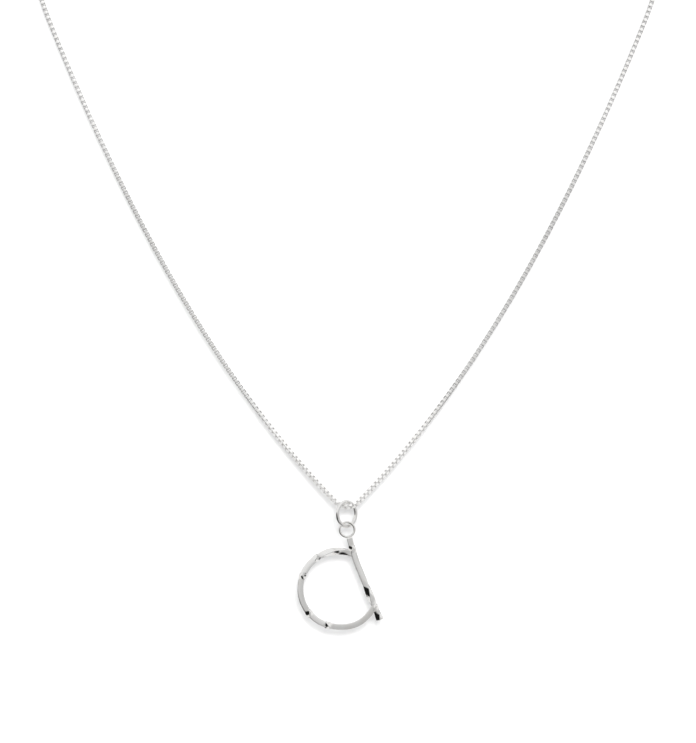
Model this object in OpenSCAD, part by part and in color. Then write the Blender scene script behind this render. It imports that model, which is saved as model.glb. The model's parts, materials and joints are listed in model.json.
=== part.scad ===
// A silver letter pendant on a fine box chain, hanging from the back of the neck.
// X runs to the right, Y away from the viewer and Z up; the origin is the top of the loop.

/* [Chain] */
// Length of the whole loop, clasp included
chain_length = 457; // [430:1:520]
// Side of the chain's square section
chain_width = 0.9; // [0.7:0.05:1.2]
// Share of the side that the rounding takes off each corner
corner_share = 0.245; // [0.15:0.005:0.3]
// Size of the curve in which the two sides hang
hang_scale = 71.9; // [60:0.1:90]
// Slope of each side where it comes down to the ring, in degrees
v_slope = 44.2; // [38:0.1:50]
// Radius to which the chain bends inside the ring
bend_r = 3; // [2.4:0.1:3.6]
// How far each side lies behind or in front of the middle plane beside the ring
side_step = 0.4; // [0.3:0.05:0.6]
// Turn of the square section near the ring, in degrees
low_roll = 45; // [0:1:45]

/* [Clasp] */
// Length of the clasp's barrel
clasp_length = 9; // [7:0.5:12]
// Diameter of the clasp's barrel
clasp_d = 2.4; // [2.2:0.1:3.2]
// Depth of the socket that takes each end of the chain
socket_depth = 1.2; // [0.8:0.1:1.6]
// Rounding of the barrel's ends
clasp_round = 0.3; // [0.1:0.05:0.45]

/* [Bail ring] */
// Outer diameter of the ring that hangs on the chain
ring_od = 5.35; // [4.8:0.05:5.6]
// Thickness of the ring's round wire
ring_wire = 0.7; // [0.5:0.02:0.8]
// Turn of the ring away from the letter's plane, in degrees
ring_yaw = 42; // [38:1:50]
// How far the ring hangs to the left of the chain's lowest point
ring_side = 0.1; // [0:0.05:0.4]

/* [Letter] */
// Side of the letter's square wire
letter_wire = 1.08; // [0.8:0.02:1.2]
// How much its rounding takes off each corner of the letter's wire
wire_corner = 0.14; // [0.06:0.01:0.2]
// Length of the letter's stem
stem_length = 16.85; // [15.5:0.05:20]
// Lean of the stem from upright, in degrees
stem_tilt = 22.4; // [14:0.1:30]
// How much less the stem leans above its slight bend, in degrees
tip_bend = 7.2; // [2:0.1:10]
// Length of the stem above its slight bend
tip_length = 4.45; // [4:0.05:5.4]
// Radius of the stem's slight bend
tip_bend_r = 28; // [16:1:36]
// Radius of the bowl, to the middle of its wire
bowl_r = 7.17; // [6.6:0.01:7.6]
// Distance of the bowl's centre from the middle of the stem
bowl_offset = 5.13; // [4.6:0.01:5.8]
// Distance of the bowl's centre below the stem's top, along the stem
bowl_drop = 8.35; // [8:0.05:9.4]
// How far the bowl opens out by its lower end
bowl_flare = 0.43; // [0:0.01:0.8]
// Turn of the wire where the bowl leaves the stem's top, in degrees
bowl_roll = 4.6; // [-10:0.2:10]
// Outer diameter of the loop on the stem's tip
loop_od = 3.25; // [2.9:0.05:3.6]
// Thickness of the loop's round wire
loop_wire = 0.46; // [0.36:0.02:0.54]

/* [Fits] */
// Height of the ring's top wire above the chain
ring_gap = 0.12; // [0.08:0.01:0.2]
// Height of the loop's top wire above the ring's bottom wire
loop_gap = 0.19; // [0.1:0.01:0.3]
// Clearance round the chain in the clasp's sockets
socket_clear = 0.1; // [0.06:0.01:0.16]
// How far the stem's tip reaches into the loop's wire
tip_overlap = 0.16; // [0.08:0.01:0.2]

/* [Hidden] */
$fn = 48;
DEGREES = 180 / PI;

// Where the stem's square wire makes a turn: [place, length, turn in degrees],
// the first two as shares of the stem's length
STEM_TURNS = [
    [0.14, 0.11, 80],
    [0.685, 0.39, 100],
    [0.846, 0.1, 99],
    [0.977, 0.144, 58]
];
// The same along the bowl, from the upper end round to the lower end
BOWL_TURNS = [
    [0.102, 0.25, -90],
    [0.215, 0.04, -83],
    [0.346, 0.04, -98],
    [0.573, 0.04, 80],
    [0.699, 0.05, 98]
];
// Shares of the bowl between which it opens out
FLARE_FROM = 0.72;
FLARE_TO = 0.9;

// Numbers of sections along the sweeps
BEND_RINGS = 4;
LEG_RINGS = 15;
TOP_RINGS = 19;
STEM_RINGS = 62;
BOWL_RINGS = 176;
// Length over which the chain steps from one side of the middle plane to the other
STEP_LENGTH = 2;

function sinh(u) = (exp(u) - exp(-u)) / 2;
function cosh(u) = (exp(u) + exp(-u)) / 2;
function asinh(t) = ln(t + sqrt(t * t + 1));
function eased(t) = let(u = min(max(t, 0), 1)) u * u * (3 - 2 * u);
function unit(v) = v / norm(v);

// The hanging curve: x is the distance from the middle, the height is above the V's corner
lean = hang_scale * asinh(tan(v_slope));
function leg_slope(x) = atan(sinh((x + lean) / hang_scale));
function leg_height(x) = hang_scale * (cosh((x + lean) / hang_scale) - cosh(lean / hang_scale));
function leg_run(x) = hang_scale * (sinh((x + lean) / hang_scale) - sinh(lean / hang_scale));
function leg_x(run) = hang_scale * asinh(run / hang_scale + sinh(lean / hang_scale)) - lean;

// The bend inside the ring touches the hanging curve at bend_x
BEND_TRIES = 8;
function bend_end(x, tries) = tries == 0 ? x : bend_end(bend_r * sin(leg_slope(x)), tries - 1);
bend_x = bend_end(bend_r * sin(v_slope), BEND_TRIES);
bend_angle = leg_slope(bend_x);
bend_run = bend_r * bend_angle / DEGREES;
bend_rise = leg_height(bend_x) + bend_r * cos(bend_angle) - bend_r;

// The round top of the loop touches the hanging curve at top_x, found by halving
HALVINGS = 40;
function top_radius(x) = x / sin(leg_slope(x));
function top_run(x) = top_radius(x) * (180 - leg_slope(x)) / DEGREES;
function half_loop(x) = bend_run + leg_run(x) - leg_run(bend_x) + top_run(x);
function top_start(low, high, tries) =
    let(middle = (low + high) / 2)
    tries == 0 ? middle
    : half_loop(middle) < chain_length / 2 ? top_start(middle, high, tries - 1)
    : top_start(low, middle, tries - 1);
top_x = top_start(bend_x, chain_length / 2, HALVINGS);
top_slope = leg_slope(top_x);
top_r = top_radius(top_x);
legs_run = leg_run(top_x) - leg_run(bend_x);
corner_z = -top_r * (1 + cos(top_slope)) - leg_height(top_x);
low_z = corner_z + bend_rise;

// A point of the right half of the chain's middle line, s along it from the lowest point
function bend_point(s) =
    let(turn = s / bend_r * DEGREES)
    [bend_r * sin(turn), low_z + bend_r * (1 - cos(turn))];
function leg_point(s) =
    let(x = leg_x(leg_run(bend_x) + s - bend_run))
    [x, corner_z + leg_height(x)];
function top_point(s) =
    let(turn = top_slope - 90 + (s - bend_run - legs_run) / top_r * DEGREES)
    [top_r * cos(turn), top_r * (sin(turn) - 1)];
function flat_point(s) =
    s < bend_run ? bend_point(s)
    : s < bend_run + legs_run ? leg_point(s)
    : top_point(s);
// Each side runs straight from the nape to where it passes the ring
function side_of(s) =
    side_step * eased(s / STEP_LENGTH) * max(0, 1 - s / (bend_run + legs_run));
function chain_point(s, side) = let(p = flat_point(s)) [side * p[0], -side * side_of(s), p[1]];
function chain_roll(s) = low_roll * (1 - eased((s - bend_run) / legs_run));

// The chain's ends stand in the clasp's sockets
chain_end_x = clasp_length / 2 - socket_depth + socket_clear;
chain_half = chain_length / 2 - top_r * asin(chain_end_x / top_r) / DEGREES;
stations = concat(
    [for (i = [0:BEND_RINGS - 1]) bend_run * i / BEND_RINGS],
    [for (i = [0:LEG_RINGS - 1]) bend_run + legs_run * i / LEG_RINGS],
    [for (i = [0:TOP_RINGS]) bend_run + legs_run + (chain_half - bend_run - legs_run) * i / TOP_RINGS]
);
last = len(stations) - 1;
chain_path = concat(
    [for (i = [last:-1:1]) chain_point(stations[i], -1)],
    [for (i = [0:last]) chain_point(stations[i], 1)]
);
chain_rolls = concat(
    [for (i = [last:-1:1]) chain_roll(stations[i])],
    [for (i = [0:last]) chain_roll(stations[i])]
);

// A square with its corners cut, and how far it reaches when it stands on a corner
corner_cut = chain_width * corner_share;
chain_reach = (chain_width - corner_cut) / sqrt(2);
function cut_square(side, cut) =
    let(far = side / 2, near = side / 2 - cut)
    [
        [far, near], [near, far], [-near, far], [-far, near],
        [-far, -near], [-near, -far], [near, -far], [far, -near]
    ];

// The direction of a path at its point i, along the chord of its neighbours
function heading(path, i) =
    unit(path[min(i + 1, len(path) - 1)] - path[max(i - 1, 0)]);
// A section set square to the heading t, its first axis nearest to Y, then rolled about t
function placed(section, centre, t, roll) =
    let(across = unit([0, 1, 0] - t * t[1]), other = cross(t, across))
    [for (p = section)
        let(a = p[0] * cos(roll) - p[1] * sin(roll), b = p[0] * sin(roll) + p[1] * cos(roll))
        centre + across * a + other * b];

// A closed skin over equal sections, with flat ends
module swept(section, path, rolls) {
    n = len(section);
    count = len(path);
    points = [for (i = [0:count - 1]) each placed(section, path[i], heading(path, i), rolls[i])];
    sides = [for (i = [0:count - 2], j = [0:n - 1])
        let(k = (j + 1) % n)
        each [[i * n + j, (i + 1) * n + j, i * n + k], [i * n + k, (i + 1) * n + j, (i + 1) * n + k]]];
    ends = [[for (j = [0:n - 1]) j], [for (j = [n - 1:-1:0]) (count - 1) * n + j]];
    polyhedron(points = points, faces = concat(sides, ends), convexity = 10);
}

// A ring of round wire about the Y axis
module wire_ring(outer_d, wire_d) {
    rotate([90, 0, 0])
        rotate_extrude()
            translate([(outer_d - wire_d) / 2, 0])
                circle(d = wire_d);
}

// The ring hangs on the chain's lowest point, and the loop on the ring's
ring_z = low_z + chain_reach + ring_gap - (ring_od / 2 - ring_wire);
loop_z = ring_z - (ring_od / 2 - ring_wire) + loop_gap - (loop_od / 2 - loop_wire);

// The letter is laid out about its loop's centre: down a wire that leans, and across it to the right
function downward(lean) = [sin(lean), 0, -cos(lean)];
function rightward(lean) = [cos(lean), 0, sin(lean)];
tip_lean = stem_tilt - tip_bend;
stem_top = downward(tip_lean) * (loop_od / 2 - tip_overlap);
stem_corner = stem_top + downward(tip_lean) * tip_length;
bowl_centre = stem_corner + downward(stem_tilt) * (bowl_drop - tip_length)
    - rightward(stem_tilt) * bowl_offset;

// The stem runs straight to its slight bend, round it and straight on, s along it from the top
tip_reach = tip_bend_r * tan(tip_bend / 2);
tip_straight = tip_length - tip_reach;
tip_curve = tip_bend_r * tip_bend / DEGREES;
function curve_point(lean) =
    stem_top + downward(tip_lean) * tip_straight + tip_bend_r * (rightward(tip_lean) - rightward(lean));
function stem_point(s) =
    s < tip_straight ? stem_top + downward(tip_lean) * s
    : s < tip_straight + tip_curve ? curve_point(tip_lean + (s - tip_straight) / tip_bend_r * DEGREES)
    : stem_corner + downward(stem_tilt) * (tip_reach + s - tip_straight - tip_curve);

// Turns of the wire added up to the share s of its length
function turned(turns, s) =
    let(parts = [for (row = turns) row[2] * eased((s - row[0]) / row[1] + 0.5)])
    parts * [for (part = parts) 1];

stem_path = [for (i = [0:STEM_RINGS]) stem_point(stem_length * i / STEM_RINGS)];
stem_rolls = [for (i = [0:STEM_RINGS]) turned(STEM_TURNS, i / STEM_RINGS)];

// The bowl leaves the stem's middle line at one end and comes back to it at the other
bowl_low_r = bowl_r + bowl_flare;
bowl_from = stem_tilt + acos(bowl_offset / bowl_r);
bowl_sweep = 360 - acos(bowl_offset / bowl_r) - acos(bowl_offset / bowl_low_r);
function bowl_radius(s) = bowl_r + bowl_flare * eased((s - FLARE_FROM) / (FLARE_TO - FLARE_FROM));
function bowl_point(s) =
    let(angle = bowl_from + bowl_sweep * s)
    bowl_centre + bowl_radius(s) * [cos(angle), 0, sin(angle)];
bowl_path = [for (i = [0:BOWL_RINGS]) bowl_point(i / BOWL_RINGS)];
bowl_rolls = [for (i = [0:BOWL_RINGS]) bowl_roll + turned(BOWL_TURNS, i / BOWL_RINGS)];
letter_section = cut_square(letter_wire, wire_corner);

// The fine box chain, as the square rope that its links fill
module chain() {
    color([0.80, 0.80, 0.78])
        swept(cut_square(chain_width, corner_cut), chain_path, chain_rolls);
}

// The plain barrel clasp, hidden at the nape, with a socket for each end of the chain
module clasp() {
    half = clasp_length / 2;
    radius = clasp_d / 2;
    socket_r = chain_width / sqrt(2) - corner_cut / 2 + socket_clear;
    end_rise = top_r - sqrt(top_r * top_r - half * half);
    color([0.76, 0.76, 0.74])
        translate([0, 0, -end_rise * 0.8])
            rotate([0, 90, 0])
                difference() {
                    union() {
                        cylinder(h = clasp_length - 2 * clasp_round, r = radius, center = true);
                        cylinder(h = clasp_length, r = radius - clasp_round, center = true);
                        for (side = [-1, 1])
                            translate([0, 0, side * (half - clasp_round)])
                                rotate_extrude()
                                    translate([radius - clasp_round, 0])
                                        circle(r = clasp_round);
                    }
                    for (side = [-1, 1])
                        translate([0, 0, side * half])
                            cylinder(h = 2 * socket_depth, r = socket_r, center = true);
                }
}

// The round jump ring that carries the letter on the chain
module bail_ring() {
    color([0.84, 0.84, 0.83])
        translate([-ring_side, 0, ring_z])
            rotate([0, 0, ring_yaw])
                wire_ring(ring_od, ring_wire);
}

// The letter: a round bowl and a straight stem of twisted square wire, with its hanging loop
module letter() {
    color([0.88, 0.88, 0.87])
        translate([0, 0, loop_z]) {
            swept(letter_section, stem_path, stem_rolls);
            swept(letter_section, bowl_path, bowl_rolls);
            wire_ring(loop_od, loop_wire);
        }
}

chain();
clasp();
bail_ring();
letter();
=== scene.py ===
"""A silver letter pendant on a fine box chain, hanging in soft studio light.

Metres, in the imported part's frame: X to the right, Y away from the viewer and Z up.
"""

import json
import math

import bpy
import numpy as np
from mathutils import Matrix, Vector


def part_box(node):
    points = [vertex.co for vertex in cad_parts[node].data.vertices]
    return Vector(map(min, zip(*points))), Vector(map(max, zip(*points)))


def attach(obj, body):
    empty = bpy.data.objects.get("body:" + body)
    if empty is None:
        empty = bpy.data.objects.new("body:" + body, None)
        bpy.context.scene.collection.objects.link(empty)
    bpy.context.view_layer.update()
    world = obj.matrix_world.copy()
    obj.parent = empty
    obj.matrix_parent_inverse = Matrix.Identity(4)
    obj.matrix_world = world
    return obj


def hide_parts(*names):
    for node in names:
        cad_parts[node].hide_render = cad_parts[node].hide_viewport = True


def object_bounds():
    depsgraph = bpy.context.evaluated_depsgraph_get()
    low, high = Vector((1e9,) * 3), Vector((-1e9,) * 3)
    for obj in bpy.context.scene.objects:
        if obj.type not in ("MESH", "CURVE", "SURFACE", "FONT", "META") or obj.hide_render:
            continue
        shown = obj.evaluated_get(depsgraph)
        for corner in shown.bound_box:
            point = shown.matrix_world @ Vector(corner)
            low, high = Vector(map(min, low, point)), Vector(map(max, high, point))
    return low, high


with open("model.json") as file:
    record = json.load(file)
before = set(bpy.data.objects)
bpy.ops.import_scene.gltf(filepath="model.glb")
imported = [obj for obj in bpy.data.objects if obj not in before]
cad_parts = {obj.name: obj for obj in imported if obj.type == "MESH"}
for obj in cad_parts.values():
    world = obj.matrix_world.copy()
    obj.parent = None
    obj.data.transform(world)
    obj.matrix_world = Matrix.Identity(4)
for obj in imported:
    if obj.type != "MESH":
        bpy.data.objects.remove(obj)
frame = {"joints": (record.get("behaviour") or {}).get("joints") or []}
cad_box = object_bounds()

MM = 0.001

# The lowest point of the chain and the middle of the letter's loop are the two joints' places
joint_at = {joint["name"]: np.array(joint["pos_m"]) for joint in frame["joints"]}
LOW = joint_at["ring_swing"]
LOOP = joint_at["letter_sway"]

# Chain: the route in which it hangs, as in the part's source
CHAIN_LENGTH = 457 * MM
HANG_SCALE = 71.9 * MM
V_SLOPE = math.radians(44.2)
BEND_R = 3 * MM
BEND_TRIES = 8
HALVINGS = 40
SIDE_STEP = 0.4 * MM
STEP_LENGTH = 2 * MM

# Chain: its roll, from corner down in the ring to flat this far up the legs
LOW_ROLL = math.radians(45)
ROLL_RUN = 36 * MM

# Chain: its links, each a square ring of flat strip, with every second one turned by 90 degrees,
# and the share of a pitch that its two ends leave bare
LINK_PITCH = 0.5 * MM
LINK_SIDE = 0.9 * MM
STRIP_T = 0.13 * MM
STRIP_W = 0.57 * MM
STRIP_EDGE = 0.045 * MM
LINK_SLACK = 0.05 * MM
LINK_CORNER = 0.2 * MM
END_SPARE = 0.7

# Chain: painted shade on its links: run from the lowest point, painted shade of their insides,
# painted shade of their faces
LINK_PAINTED_SHADES = [
    (0, 0.25, 0),
    (20 * MM, 0.4, 0),
    (32 * MM, 1, 0.35),
    (70 * MM, 1, 0.4),
    (90 * MM, 1, 0),
]

# Clasp: a barrel with a socket at each end, wide enough for the chain's square with its corners
# cut, and with a tiny closed hole in the middle of the socket's floor
CLASP_LENGTH = 9 * MM
CLASP_ROUND = 0.3 * MM
CLASP_SHARP = math.radians(35)
CLASP_SIDES = 64
SOCKET_DEPTH = 1.2 * MM
SOCKET_CLEAR = 0.1 * MM
SOCKET_LIP = 0.05 * MM
CORNER_CUT = 0.22 * MM
PIN_HOLE = 0.0001 * MM

# Bail ring
RING_WIRE = 0.7 * MM
RING_YAW = math.radians(42)
RING_SEAM = math.radians(200)
SEAM_SWELL, SEAM_SPREAD = 0.05, 0.07

# Letter: twisted square wire, as in the part's source
WIRE = 1.08 * MM
WIRE_ROUND = 0.09 * MM
WIRE_SHARP = math.radians(32)
STEM_RINGS, BOWL_RINGS = 340, 620
TOP_ROUND, LOW_ROUND = 0.3 * MM, 0.1 * MM
STEM_LENGTH = 16.85 * MM
STEM_TILT = math.radians(22.4)
TIP_BEND = math.radians(7.2)
TIP_LENGTH = 4.45 * MM
TIP_BEND_R = 28 * MM
BOWL_R = 7.17 * MM
BOWL_OFFSET = 5.13 * MM
BOWL_DROP = 8.35 * MM
BOWL_FLARE = 0.43 * MM
BOWL_ROLL = math.radians(4.6)
BOWL_THIN = 0.985
FLARE_FROM, FLARE_TO = 0.72, 0.9
LOOP_OD = 3.25 * MM
LOOP_WIRE = 0.46 * MM
TIP_OVERLAP = 0.16 * MM

# Turns of the wire: place and length as shares of the whole, turn in degrees
STEM_TURNS = [
    (0.14, 0.11, 80),
    (0.685, 0.39, 100),
    (0.846, 0.1, 99),
    (0.977, 0.144, 58),
]
BOWL_TURNS = [
    (0.102, 0.25, -90),
    (0.215, 0.05, -83),
    (0.346, 0.05, -98),
    (0.573, 0.05, 80),
    (0.699, 0.06, 98),
]

# Camera: the photograph's frame, seen level from far away
PHOTO_HIGH = 743
MM_A_PIXEL = 0.19
VIEW_X = 0.17 * MM
VIEW_Z = -150.29 * MM
CAMERA_AWAY = 2.0
CAMERA_REACH = 20.0
SENSOR = 36.0

# Silver: its bloom, grain, waves and scratches, and the painted shade in the recesses of the
# chain's links
BLOOM_SCALE, GRAIN_SCALE, WAVE_SCALE = 420.0, 5200.0, 900.0
SCRATCH_SCALE = (9000.0, 9000.0, 1400.0)
BLOOM_RANGE, GRAIN_RANGE, SCRATCH_RANGE = (0.42, 0.68), (0.5, 0.8), (0.56, 0.72)
BLOOM_ROUGH, GRAIN_ROUGH, INSIDE_ROUGH = 0.6, 0.5, 0.15
PAINTED_SHADE_COLOUR = (0.22, 0.215, 0.205)

# Studio: the backdrop, from below the letter to above the loop: height, distance behind the chain
WALL_HALF = 0.32
WALL_GREY = 0.85
WALL_PROFILE = [
    (-1200 * MM, 14 * MM),
    (-195 * MM, 14 * MM),
    (-180 * MM, 12 * MM),
    (-168 * MM, 8 * MM),
    (-145 * MM, 7.5 * MM),
    (-85 * MM, 3.5 * MM),
    (1500 * MM, 3.5 * MM),
]

# Studio: the floor
FLOOR_HALF = 3
FLOOR_BELOW = 35 * MM
FLOOR_GREY = 0.82
CLOUD_SCALE = 6.0
CLOUD_RANGE = (0.3, 0.7)
CLOUD_TINT = (0.99, 0.99, 0.985)

# Studio: even light all round, and a low sun from the front, a little from the right
WORLD_LIGHT = 0.75
SUN_LIGHT = 2.1
SUN_WIDE = math.radians(7)
SUN_UP = math.radians(5)
SUN_RIGHT = math.radians(1.3)

# Studio: what the silver mirrors, grey round the camera and white beyond, by the angle in degrees
DOME_R = 10
DOME_RINGS, DOME_SIDES = 48, 96
POLE_GAP = 0.001
MIDDLE_GREY, FAR_WHITE = 0.5, 0.87
GREY_SIDE, GREY_AWAY = 285, 15
GREY_FROM, GREY_TO = 0, 50
SOFT_EDGE = 5

# Studio: light and dark places in it: angle round the view and away from it, radius, share, light
ROOM_PLACES = [
    (0, 180, 32, 1, 0.5),
    (300, 97, 10, 1, 1.0),
    (286, 66.5, 18, 1, 0.01),
    (342, 66, 45, 0.32, 0.01),
    (216.5, 59.5, 42, 1, 0.01),
]


def eased(t):
    """A smooth step from 0 to 1."""
    t = np.clip(t, 0, 1)
    return t * t * (3 - 2 * t)


def unit(v):
    """Vectors of length 1 in the directions of v."""
    return v / np.linalg.norm(v, axis=-1, keepdims=True)


def flat_to_space(x, z, y=0.0):
    """Points in space from their places in the hanging plane."""
    return np.stack([x, np.broadcast_to(y, np.shape(x)), z], axis=-1)


# The chain's route

LEAN = HANG_SCALE * math.asinh(math.tan(V_SLOPE))


def leg_slope(x):
    """The slope of the hanging curve at x from its corner."""
    return np.arctan(np.sinh((x + LEAN) / HANG_SCALE))


def leg_height(x):
    """The curve's height over its corner."""
    return HANG_SCALE * (np.cosh((x + LEAN) / HANG_SCALE) - math.cosh(LEAN / HANG_SCALE))


def leg_run(x):
    """The curve's length from its corner to x."""
    return HANG_SCALE * (np.sinh((x + LEAN) / HANG_SCALE) - math.sinh(LEAN / HANG_SCALE))


def leg_x(run):
    """Where the curve is after a length from its corner."""
    return HANG_SCALE * np.arcsinh(run / HANG_SCALE + math.sinh(LEAN / HANG_SCALE)) - LEAN


def find_bend():
    """Where the bend inside the ring touches the hanging curve."""
    x = BEND_R * math.sin(V_SLOPE)
    for _ in range(BEND_TRIES):
        x = BEND_R * math.sin(leg_slope(x))
    return x


BEND_X = find_bend()
BEND_RUN = BEND_R * float(leg_slope(BEND_X))
BEND_RISE = float(leg_height(BEND_X)) + BEND_R * math.cos(leg_slope(BEND_X)) - BEND_R


def half_loop(x):
    """Half the loop's length if its round top starts at x."""
    top = x / math.sin(leg_slope(x)) * (math.pi - leg_slope(x))
    return BEND_RUN + leg_run(x) - leg_run(BEND_X) + top


def find_top():
    """Where the round top touches the hanging curve, by halving."""
    low, high = BEND_X, CHAIN_LENGTH / 2
    for _ in range(HALVINGS):
        middle = (low + high) / 2
        if half_loop(middle) < CHAIN_LENGTH / 2:
            low = middle
        else:
            high = middle
    return low


TOP_X = find_top()
TOP_SLOPE = float(leg_slope(TOP_X))
TOP_R = TOP_X / math.sin(TOP_SLOPE)
LEGS_RUN = float(leg_run(TOP_X) - leg_run(BEND_X))
CORNER_Z = LOW[2] - BEND_RISE


def route(s):
    """Points of the chain's middle line, s along it from its lowest point, left negative."""
    run = np.abs(s)
    turn = run / BEND_R
    bend = (BEND_R * np.sin(turn), LOW[2] + BEND_R * (1 - np.cos(turn)))
    x = leg_x(leg_run(BEND_X) + run - BEND_RUN)
    leg = (x, CORNER_Z + leg_height(x))
    turn = TOP_SLOPE - math.pi / 2 + (run - BEND_RUN - LEGS_RUN) / TOP_R
    top = (TOP_R * np.cos(turn), TOP_R * (np.sin(turn) - 1))
    in_bend, in_leg = run < BEND_RUN, run < BEND_RUN + LEGS_RUN
    flat = [np.where(in_bend, b, np.where(in_leg, l, t)) for b, l, t in zip(bend, leg, top)]
    away = SIDE_STEP * eased(run / STEP_LENGTH) * np.maximum(0, 1 - run / (BEND_RUN + LEGS_RUN))
    return flat_to_space(np.sign(s) * flat[0], flat[1], -np.sign(s) * away)


def chain_roll(s):
    """The roll of the links about the route: corner down in the ring, flat further up."""
    return LOW_ROLL * (1 + eased((np.abs(s) - BEND_RUN) / ROLL_RUN))


def axes_along(heading, roll):
    """Two directions square to each heading, the first nearest to Y, then rolled about it."""
    across = unit(np.array([0, 1, 0]) - heading * heading[:, 1:2])
    other = np.cross(heading, across)
    c, s = np.cos(roll)[:, None], np.sin(roll)[:, None]
    return across * c + other * s, other * c - across * s


# Meshes

def make_piece(name, points, faces, sharp=None):
    """A new smooth-shaded object; edges sharper than the angle stay crisp."""
    mesh = bpy.data.meshes.new(name)
    mesh.from_pydata(np.asarray(points).tolist(), [], faces)
    mesh.validate()
    mesh.shade_smooth()
    if sharp is not None:
        mesh.set_sharp_from_angle(angle=sharp)
    piece = bpy.data.objects.new(name, mesh)
    bpy.context.scene.collection.objects.link(piece)
    return piece


def tube_faces(rings, sides, closed):
    """Quads between the rings of a tube, and its two ends if it is open."""
    last = rings if closed else rings - 1
    faces = []
    for i in range(last):
        a, b = i * sides, (i + 1) % rings * sides
        for j in range(sides):
            k = (j + 1) % sides
            faces.append((a + j, b + j, b + k, a + k))
    if not closed:
        faces.append(tuple(range(sides)))
        faces.append(tuple(rings * sides - 1 - j for j in range(sides)))
    return faces


def rounded_square(side, radius, corner_steps=4):
    """A square section with round corners and a point in the middle of each flat."""
    points = []
    for quarter in range(4):
        centre = quarter * math.pi / 2 + math.pi / 4
        reach = side / 2 - radius
        corner = reach * math.sqrt(2) * np.array([math.cos(centre), math.sin(centre)])
        for step in range(corner_steps + 1):
            angle = quarter * math.pi / 2 + step / corner_steps * math.pi / 2
            points.append(corner + radius * np.array([math.cos(angle), math.sin(angle)]))
        flat = (quarter + 1) * math.pi / 2
        points.append(side / 2 * np.array([math.cos(flat), math.sin(flat)]))
    return np.array(points)


def swept(path, section, rolls, scales=None):
    """Points of a section carried along a path and rolled about it."""
    heading = unit(np.gradient(path, axis=0))
    first, second = axes_along(heading, rolls)
    scales = np.ones(len(path)) if scales is None else scales
    section = scales[:, None, None] * section[None]
    points = path[:, None] + section[..., :1] * first[:, None]
    points = points + section[..., 1:] * second[:, None]
    return points.reshape(-1, 3)


def wire_ring(centre, outer_d, wire_d, yaw=0.0, seam=None, rings=128, sides=28):
    """A ring of round wire about the Y axis, turned by yaw, with a faint swelling at its seam."""
    around = np.linspace(0, 2 * math.pi, rings, endpoint=False)[:, None]
    about = np.linspace(0, 2 * math.pi, sides, endpoint=False)[None]
    thick = np.full_like(around, wire_d / 2)
    if seam is not None:
        off = np.angle(np.exp(1j * (around - seam)))
        thick = thick * (1 + SEAM_SWELL * np.exp(-(off / SEAM_SPREAD) ** 2))
    radius = (outer_d - wire_d) / 2 + thick * np.cos(about)
    x, y, z = radius * np.cos(around), thick * np.sin(about), radius * np.sin(around)
    c, s = math.cos(yaw), math.sin(yaw)
    points = np.stack([x * c - y * s, x * s + y * c, z], axis=-1) + centre
    return points.reshape(-1, 3), tube_faces(rings, sides, closed=True)


# Shading

class Value:
    """One output socket of a node; sums on it add Math nodes to its tree."""

    def __init__(self, socket):
        self.socket = socket

    def node(self, kind, settings=None, sockets=None, out=0):
        return add_node(self.socket.id_data, kind, settings, sockets, out)

    def math(self, operation, *others):
        sockets = dict(enumerate((self, *others)))
        return self.node("ShaderNodeMath", {"operation": operation}, sockets)

    def __add__(self, other):
        return self.math("ADD", other)

    __radd__ = __add__

    def __mul__(self, other):
        return self.math("MULTIPLY", other)

    __rmul__ = __mul__

    def __sub__(self, other):
        return self.math("SUBTRACT", other)

    def __rsub__(self, other):
        return self * -1 + other

    def between(self, low, high):
        """A smooth step from 0 at low to 1 at high."""
        settings = {"interpolation_type": "SMOOTHSTEP", "clamp": True}
        sockets = {"From Min": low, "From Max": high, "Value": self}
        return self.node("ShaderNodeMapRange", settings, sockets)


def add_node(tree, kind, settings=None, sockets=None, out=0):
    """Adds a node: its settings first, then the values or links of its sockets."""
    node = tree.nodes.new(kind)
    for key, value in (settings or {}).items():
        setattr(node, key, value)
    for key, value in (sockets or {}).items():
        if isinstance(value, Value):
            tree.links.new(value.socket, node.inputs[key])
        else:
            node.inputs[key].default_value = value
    return Value(node.outputs[out])


def new_tree(name):
    """A material with an empty tree."""
    material = bpy.data.materials.new(name)
    material.use_nodes = True
    material.node_tree.nodes.clear()
    return material, material.node_tree


def finish_tree(tree, surface):
    """Links a shader to the material's output."""
    output = tree.nodes.new("ShaderNodeOutputMaterial")
    tree.links.new(surface.socket, output.inputs["Surface"])


def mixed(factor, one, two):
    """A colour between two colours."""
    settings = {"data_type": "RGBA"}
    return factor.node("ShaderNodeMix", settings, {0: factor, 6: one, 7: two}, 2)


def noise(place, scale, detail):
    """A noise texture at a place."""
    sockets = {"Vector": place, "Scale": scale, "Detail": detail}
    return place.node("ShaderNodeTexNoise", None, sockets)


def bumped(height, distance, under=None):
    """A normal raised by a height, over another normal if there is one."""
    sockets = {"Height": height, "Strength": 1.0, "Distance": distance}
    if under is not None:
        sockets["Normal"] = under
    return height.node("ShaderNodeBump", None, sockets)


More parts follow.
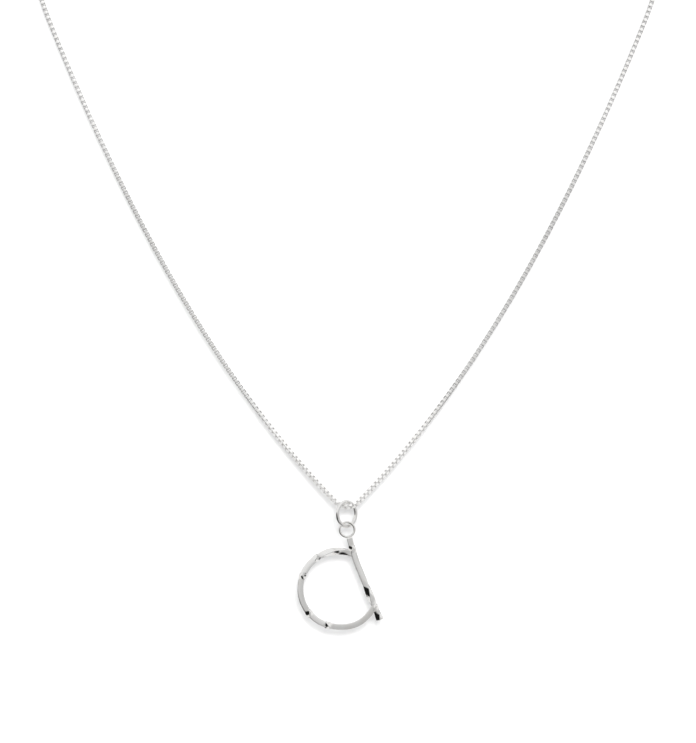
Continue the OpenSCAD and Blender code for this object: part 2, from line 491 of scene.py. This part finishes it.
def silver(name, tint, dull, rough, scratches, waves, metal=1.0, inside=None):
    """Polished silver with fine scratches, faint waves and a dull bloom in places.

    The points' attribute that inside names gives the painted shade of a chain's links, in their
    recesses and on their faces.
    """
    material, tree = new_tree(name)
    place = add_node(tree, "ShaderNodeTexCoord", out="Object")
    bloom = noise(place, BLOOM_SCALE, 3.0).between(*BLOOM_RANGE)
    grain = noise(place, GRAIN_SCALE, 2.0).between(*GRAIN_RANGE)
    roughness = rough + bloom * rough * BLOOM_ROUGH + grain * rough * GRAIN_ROUGH
    colour = mixed(bloom, (*tint, 1), (*dull, 1))
    # Painted shade: where the attribute is high, the colour goes to a dark grey and the surface
    # gets rougher.
    if inside is not None:
        painted_shade_mask = add_node(tree, "ShaderNodeAttribute", {"attribute_name": inside}, out="Fac")
        colour = mixed(painted_shade_mask, colour, (*PAINTED_SHADE_COLOUR, 1))
        roughness = roughness + painted_shade_mask * INSIDE_ROUGH
    drawn = place.node("ShaderNodeMapping", None, {"Vector": place, "Scale": SCRATCH_SCALE})
    bump = bumped(noise(drawn, 1.0, 1.0).between(*SCRATCH_RANGE), scratches)
    bump = bumped(noise(place, WAVE_SCALE, 1.0), waves, bump)
    sockets = {"Base Color": colour, "Metallic": metal, "Roughness": roughness, "Normal": bump}
    finish_tree(tree, place.node("ShaderNodeBsdfPrincipled", None, sockets))
    return material


def plain_white(name, grey):
    """A dull white with faint clouds."""
    material, tree = new_tree(name)
    place = add_node(tree, "ShaderNodeTexCoord", out="Object")
    cloud = noise(place, CLOUD_SCALE, 2.0).between(*CLOUD_RANGE)
    cloudy = [grey * share for share in CLOUD_TINT]
    colour = mixed(cloud, (grey, grey, grey, 1), (*cloudy, 1))
    finish_tree(tree, place.node("ShaderNodeBsdfDiffuse", None, {"Color": colour}))
    return material


# Pieces

def make_chain():
    """The box chain: square rings of flat strip, each through its two neighbours."""
    end_x = CLASP_LENGTH / 2 - SOCKET_DEPTH + SOCKET_CLEAR
    half = CHAIN_LENGTH / 2 - TOP_R * math.asin(end_x / TOP_R)
    count = int(2 * half / LINK_PITCH)
    pitch = 2 * half / (count + END_SPARE)
    centres = (np.arange(count) - (count - 1) / 2) * pitch

    long_half = pitch / 2 + STRIP_T + LINK_SLACK / 2
    reach = np.array([long_half, LINK_SIDE / 2]) - LINK_CORNER
    outline, outward = [], []
    for quarter, (sx, sy) in enumerate(((1, 1), (-1, 1), (-1, -1), (1, -1))):
        for step in range(3):
            angle = (quarter + step / 2) * math.pi / 2
            direction = np.array([math.cos(angle), math.sin(angle)])
            outline.append(reach * (sx, sy) + (LINK_CORNER - STRIP_T / 2) * direction)
            outward.append(direction)
    outline, outward = np.array(outline), np.array(outward)

    thick, wide, cut = STRIP_T / 2, STRIP_W / 2, STRIP_EDGE
    section = np.array([
        (thick, wide - cut), (thick - cut, wide), (cut - thick, wide), (-thick, wide - cut),
        (-thick, cut - wide), (cut - thick, -wide), (thick - cut, -wide), (thick, cut - wide),
    ])
    in_plane = outline[:, None] + section[None, :, :1] * outward[:, None]
    sideways = np.broadcast_to(section[None, :, 1], in_plane.shape[:2])
    along, upright = in_plane[..., 0].ravel(), in_plane[..., 1].ravel()
    sideways = sideways.ravel()
    # Painted shade in the recesses: full on the strips' inner sides, and on their outer sides by
    # how far they face along the chain.
    painted_shade_mask = np.where(section[None, :, 0] < 0, 1.0, outward[:, :1] ** 2).ravel()

    middle = route(centres)
    step = pitch / 4
    heading = unit(route(centres + step) - route(centres - step))
    roll = chain_roll(centres) + np.arange(count) % 2 * math.pi / 2
    first, second = axes_along(heading, roll)
    points = middle[:, None] + along[None, :, None] * heading[:, None]
    points = points + upright[None, :, None] * first[:, None]
    points = points + sideways[None, :, None] * second[:, None]

    one = tube_faces(len(outline), len(section), closed=True)
    size = len(along)
    faces = [tuple(v + i * size for v in face) for i in range(count) for face in one]
    piece = make_piece("box_chain", points.reshape(-1, 3), faces)
    # Painted shade per point: over the whole of each link partway up the legs, and in the recesses,
    # both set by the run.
    inside = piece.data.attributes.new("inside", "FLOAT", "POINT")
    runs, inner, outer = np.array(LINK_PAINTED_SHADES).T
    inner = np.interp(np.abs(centres), runs, inner)[:, None]
    outer = np.interp(np.abs(centres), runs, outer)[:, None]
    shade = outer + (1 - outer) * inner * painted_shade_mask
    inside.data.foreach_set("value", shade.ravel().astype(np.float32))
    soft = piece.modifiers.new("soft_edges", "WEIGHTED_NORMAL")
    soft.weight = 80
    piece.data.materials.append(CHAIN_SILVER)
    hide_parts("chain")
    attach(piece, "necklace")


def make_clasp():
    """The plain barrel clasp at the nape, with a socket for each end of the chain."""
    low, high = (np.array(corner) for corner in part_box("clasp"))
    middle = (low + high) / 2
    radius, half = (high[2] - low[2]) / 2, (high[0] - low[0]) / 2
    socket_r = SOCKET_CLEAR + LINK_SIDE / math.sqrt(2) - CORNER_CUT / 2
    profile = [
        (half - SOCKET_DEPTH, PIN_HOLE),
        (half - SOCKET_DEPTH, socket_r),
        (half - SOCKET_LIP, socket_r),
        (half, socket_r + SOCKET_LIP),
        (half, radius - CLASP_ROUND),
    ]
    for step in range(1, 7):
        angle = step / 6 * math.pi / 2
        x = half - CLASP_ROUND + CLASP_ROUND * math.cos(angle)
        profile.append((x, radius - CLASP_ROUND + CLASP_ROUND * math.sin(angle)))
    profile = np.array(profile)
    mirrored = profile[::-1] * (-1, 1)
    profile = np.concatenate([profile, mirrored])
    about = np.linspace(0, 2 * math.pi, CLASP_SIDES, endpoint=False)
    points = [
        middle + np.array([x, r * math.cos(a), r * math.sin(a)])
        for x, r in profile
        for a in about
    ]
    faces = tube_faces(len(profile), len(about), closed=False)
    piece = make_piece("clasp_barrel", points, faces, CLASP_SHARP)
    piece.data.materials.append(CLASP_SILVER)
    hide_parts("clasp")
    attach(piece, "necklace")


def make_bail_ring():
    """The round jump ring on the chain, closed with a soldered seam."""
    low, high = (np.array(corner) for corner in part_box("bail_ring"))
    middle, outer_d = (low + high) / 2, high[2] - low[2]
    piece = make_piece("jump_ring", *wire_ring(middle, outer_d, RING_WIRE, RING_YAW, RING_SEAM))
    piece.data.materials.append(BRIGHT_SILVER)
    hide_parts("bail_ring")
    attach(piece, "bail")


def turned(turns, s):
    """The roll of the wire at the shares s of its length."""
    return sum(
        math.radians(turn) * eased((s - place) / length + 0.5)
        for place, length, turn in turns
    )


def downward(lean):
    """The direction down the stem at a lean."""
    return flat_to_space(np.sin(lean), -np.cos(lean))


def rightward(lean):
    """The direction square to it, to the right."""
    return flat_to_space(np.cos(lean), np.sin(lean))


TIP_LEAN = STEM_TILT - TIP_BEND
STEM_TOP = LOOP + downward(TIP_LEAN) * (LOOP_OD / 2 - TIP_OVERLAP)
STEM_CORNER = STEM_TOP + downward(TIP_LEAN) * TIP_LENGTH
BOWL_LEVEL = STEM_CORNER + downward(STEM_TILT) * (BOWL_DROP - TIP_LENGTH)
BOWL_CENTRE = BOWL_LEVEL - rightward(STEM_TILT) * BOWL_OFFSET


def stem_route(s):
    """The stem's middle line, s along it from the top: straight, a slight bend, straight."""
    reach = TIP_BEND_R * math.tan(TIP_BEND / 2)
    straight, curve = TIP_LENGTH - reach, TIP_BEND_R * TIP_BEND
    lean = TIP_LEAN + np.clip((s - straight) / TIP_BEND_R, 0, TIP_BEND)
    top = STEM_TOP + downward(TIP_LEAN) * np.minimum(s, straight)[:, None]
    bend = TIP_BEND_R * (rightward(TIP_LEAN) - rightward(lean))
    return top + bend + downward(STEM_TILT) * np.maximum(0, s - straight - curve)[:, None]


def bowl_route(share):
    """The bowl's middle line, from its upper end round to its lower end."""
    low_r = BOWL_R + BOWL_FLARE
    start = STEM_TILT + math.acos(BOWL_OFFSET / BOWL_R)
    sweep = 2 * math.pi - math.acos(BOWL_OFFSET / BOWL_R) - math.acos(BOWL_OFFSET / low_r)
    radius = BOWL_R + BOWL_FLARE * eased((share - FLARE_FROM) / (FLARE_TO - FLARE_FROM))
    angle = start + sweep * share
    return BOWL_CENTRE + flat_to_space(radius * np.cos(angle), radius * np.sin(angle))


def end_rounding(length, count, top_round, low_round):
    """Stations along a wire with its ends rounded off, and the section's scale at each."""
    s = np.linspace(0, length, count)
    quarter = np.linspace(0, math.pi / 2, 7)
    near = top_round * (1 - np.cos(quarter))
    far = length - low_round * (1 - np.cos(quarter))
    s = np.unique(np.concatenate([near, s[(s > top_round) & (s < length - low_round)], far]))
    half = WIRE / 2
    scale = np.ones_like(s)
    for gone, size in ((s, top_round), (length - s, low_round)):
        inset = size - np.sqrt(np.maximum(0, size**2 - np.maximum(0, size - gone) ** 2))
        scale = np.minimum(scale, (half - inset) / half)
    return s, scale


def united(name, parts):
    """One closed solid from several that overlap."""
    whole = parts[0]
    for part in parts[1:]:
        joint = whole.modifiers.new("joint", "BOOLEAN")
        joint.operation, joint.solver, joint.object = "UNION", "EXACT", part
        graph = bpy.context.evaluated_depsgraph_get()
        shape = bpy.data.meshes.new_from_object(whole.evaluated_get(graph))
        whole.modifiers.clear()
        whole.data = shape
        bpy.data.objects.remove(part)
    whole.name = whole.data.name = name
    return whole


def make_letter():
    """The bowl, the stem and the hanging loop, soldered into one."""
    section = rounded_square(WIRE, WIRE_ROUND)
    s, scale = end_rounding(STEM_LENGTH, STEM_RINGS, TOP_ROUND, LOW_ROUND)
    points = swept(stem_route(s), section, turned(STEM_TURNS, s / STEM_LENGTH), scale)
    stem = make_piece("stem", points, tube_faces(len(s), len(section), closed=False))
    share = np.linspace(0, 1, BOWL_RINGS)
    rolls = BOWL_ROLL + turned(BOWL_TURNS, share)
    points = swept(bowl_route(share), section * BOWL_THIN, rolls)
    bowl = make_piece("bowl", points, tube_faces(len(share), len(section), closed=False))
    loop = make_piece("loop", *wire_ring(LOOP, LOOP_OD, LOOP_WIRE))
    piece = united("letter_wire", [stem, bowl, loop])
    piece.data.shade_smooth()
    piece.data.set_sharp_from_angle(angle=WIRE_SHARP)
    soft = piece.modifiers.new("soft_edges", "WEIGHTED_NORMAL")
    soft.keep_sharp = True
    piece.data.materials.append(BRIGHT_SILVER)
    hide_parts("letter")
    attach(piece, "pendant")


# Camera and studio

def set_camera():
    """The photograph's level view, framed by its own scale."""
    data = bpy.data.cameras.new("photo_camera")
    high = PHOTO_HIGH * MM_A_PIXEL * MM
    data.sensor_width = SENSOR
    data.lens = SENSOR * CAMERA_AWAY / high
    data.clip_end = CAMERA_REACH
    camera = bpy.data.objects.new("photo_camera", data)
    camera.location = (VIEW_X, -CAMERA_AWAY, VIEW_Z)
    camera.rotation_euler = (math.pi / 2, 0, 0)
    bpy.context.scene.collection.objects.link(camera)
    bpy.context.scene.camera = camera


def make_wall():
    """A white backdrop, close behind the chain and further behind the letter, clear from behind."""
    material, tree = new_tree("wall_white")
    side = add_node(tree, "ShaderNodeNewGeometry", out="Backfacing")
    grey = (WALL_GREY, WALL_GREY, WALL_GREY, 1)
    white = side.node("ShaderNodeBsdfDiffuse", None, {"Color": grey})
    clear = side.node("ShaderNodeBsdfTransparent")
    finish_tree(tree, side.node("ShaderNodeMixShader", None, {0: side, 1: white, 2: clear}))
    back = cad_box[1].y
    points = [(x, back + y, z) for z, y in WALL_PROFILE for x in (-WALL_HALF, WALL_HALF)]
    faces = [(2 * i, 2 * i + 1, 2 * i + 3, 2 * i + 2) for i in range(len(WALL_PROFILE) - 1)]
    wall = make_piece("backdrop", points, faces)
    wall.data.materials.append(material)
    wall.visible_glossy = False


def make_floor():
    """A plain pale floor below the letter."""
    z = cad_box[0].z - FLOOR_BELOW
    corners = ((-1, -1), (1, -1), (1, 1), (-1, 1))
    points = [(FLOOR_HALF * x, FLOOR_HALF * y, z) for x, y in corners]
    floor = make_piece("floor", points, [(0, 1, 2, 3)])
    floor.data.materials.append(plain_white("floor_white", FLOOR_GREY))
    floor.visible_glossy = False


def off_angle(place, side, away):
    """Degrees from each direction to the one that lies away from the viewer's, to a side."""
    side, away = math.radians(side), math.radians(away)
    aside = math.sin(away)
    towards = (aside * math.cos(side), -math.cos(away), aside * math.sin(side))
    sockets = {0: place, 1: towards}
    dot = place.node("ShaderNodeVectorMath", {"operation": "DOT_PRODUCT"}, sockets, "Value")
    return dot.math("ARCCOSINE") * (180 / math.pi)


def room_light(place):
    """What the silver mirrors: grey round the camera, white beyond, and the places in it."""
    beyond = off_angle(place, GREY_SIDE, GREY_AWAY).between(GREY_FROM, GREY_TO)
    glow = MIDDLE_GREY * (1 - beyond) + FAR_WHITE * beyond
    for side, away, radius, share, light in ROOM_PLACES:
        outside = off_angle(place, side, away).between(radius - SOFT_EDGE, radius + SOFT_EDGE)
        inside = (1 - outside) * share
        glow = glow * (1 - inside) + inside * light
    return glow


def light_studio():
    """Soft light from all round, a low sun for the shadow, and what the silver mirrors."""
    scene = bpy.context.scene
    scene.view_settings.view_transform = "Standard"
    world = bpy.data.worlds.new("studio")
    scene.world = world
    world.use_nodes = True
    background = world.node_tree.nodes["Background"].inputs
    background["Color"].default_value = (1, 1, 1, 1)
    background["Strength"].default_value = WORLD_LIGHT

    sun = bpy.data.lights.new("front_sun", "SUN")
    sun.energy = SUN_LIGHT
    sun.angle = SUN_WIDE
    lamp = bpy.data.objects.new("front_sun", sun)
    lamp.rotation_euler = (math.pi / 2 - SUN_UP, 0, SUN_RIGHT)
    lamp.visible_glossy = False
    scene.collection.objects.link(lamp)

    material, tree = new_tree("dome_light")
    place = add_node(tree, "ShaderNodeTexCoord", out="Object")
    glow = room_light(place)
    finish_tree(tree, place.node("ShaderNodeEmission", None, {"Strength": glow}))
    tilt = np.linspace(POLE_GAP, math.pi - POLE_GAP, DOME_RINGS)[:, None]
    turn = np.linspace(0, 2 * math.pi, DOME_SIDES, endpoint=False)[None]
    flat = np.sin(tilt)
    points = [flat * np.cos(turn), flat * np.sin(turn), np.cos(tilt) + 0 * turn]
    faces = tube_faces(DOME_RINGS, DOME_SIDES, closed=False)
    dome = make_piece("mirrored_dome", np.stack(points, axis=-1).reshape(-1, 3), faces)
    dome.location = LOOP
    dome.scale = (DOME_R, DOME_R, DOME_R)
    dome.data.materials.append(material)
    dome.visible_camera = dome.visible_diffuse = dome.visible_transmission = False
    dome.visible_volume_scatter = dome.visible_shadow = False


BRIGHT_SILVER = silver(
    "bright_silver", tint=(0.93, 0.925, 0.91), dull=(0.90, 0.885, 0.86), rough=0.07,
    scratches=0.0006 * MM, waves=0.0012 * MM)
CHAIN_SILVER = silver(
    "chain_silver", tint=(0.97, 0.965, 0.955), dull=(0.94, 0.93, 0.91), rough=0.3,
    scratches=0.0004 * MM, waves=0.0008 * MM, metal=0.5, inside="inside")
CLASP_SILVER = silver(
    "clasp_silver", tint=(0.91, 0.905, 0.89), dull=(0.87, 0.86, 0.84), rough=0.14,
    scratches=0.0006 * MM, waves=0.0010 * MM)

set_camera()
make_chain()
make_clasp()
make_bail_ring()
make_letter()
make_wall()
make_floor()
light_studio()
